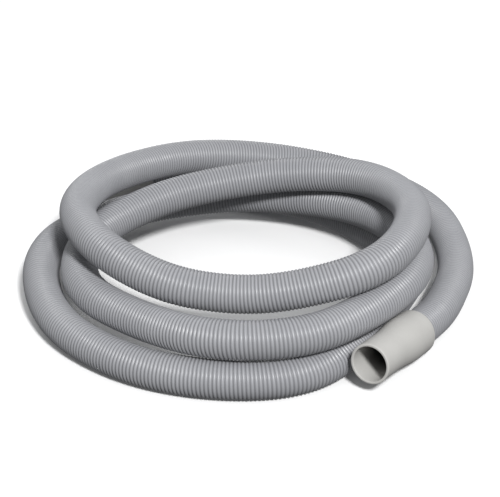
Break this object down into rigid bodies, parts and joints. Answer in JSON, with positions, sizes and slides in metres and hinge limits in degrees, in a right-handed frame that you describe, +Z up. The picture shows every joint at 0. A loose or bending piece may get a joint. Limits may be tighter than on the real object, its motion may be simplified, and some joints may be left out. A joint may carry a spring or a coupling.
{
  "type": "coiled drain hose",
  "caption": "Loosely coiled ribbed drain hose for an RV or caravan, with a smooth stepped swivel cuff on its end.",
  "frame": {"origin": "on the ground under the middle of the coil's box", "axes": "+Z up from the ground the coil lies on, +Y towards the back of the coil, near cuff at +X -Y"},
  "size_m": [0.5802, 0.5751, 0.1478],
  "materials": {
    "hose_plastic": "satin mid grey",
    "cuff_plastic": "matte light warm grey",
    "ring_plastic": "satin dark grey",
    "collar_plastic": "satin dark grey",
    "seal_rubber": "matte black"
  },
  "bodies": {
    "hose": {"hose_wall": "hose_plastic", "threaded_collar_near": "collar_plastic", "seal_ring_near": "seal_rubber", "threaded_collar_far": "collar_plastic", "seal_ring_far": "seal_rubber"},
    "near_cuff": {"cuff_sleeve_near": "cuff_plastic", "retaining_ring_near": "ring_plastic"},
    "far_cuff": {"cuff_sleeve_far": "cuff_plastic", "retaining_ring_far": "ring_plastic"}
  },
  "joints": [
    {"name": "near_cuff_swivel", "type": "hinge", "parent": "hose", "child": "near_cuff", "pos_m": [0.18472, -0.18448, 0.03033], "axis": [-0.5397, -0.831, 0.1349], "continuous": true},
    {"name": "far_cuff_swivel", "type": "hinge", "parent": "hose", "child": "far_cuff", "pos_m": [-0.16225, 0.21259, 0.0279], "axis": [-0.8988, -0.4384, 0], "continuous": true}
  ]
}
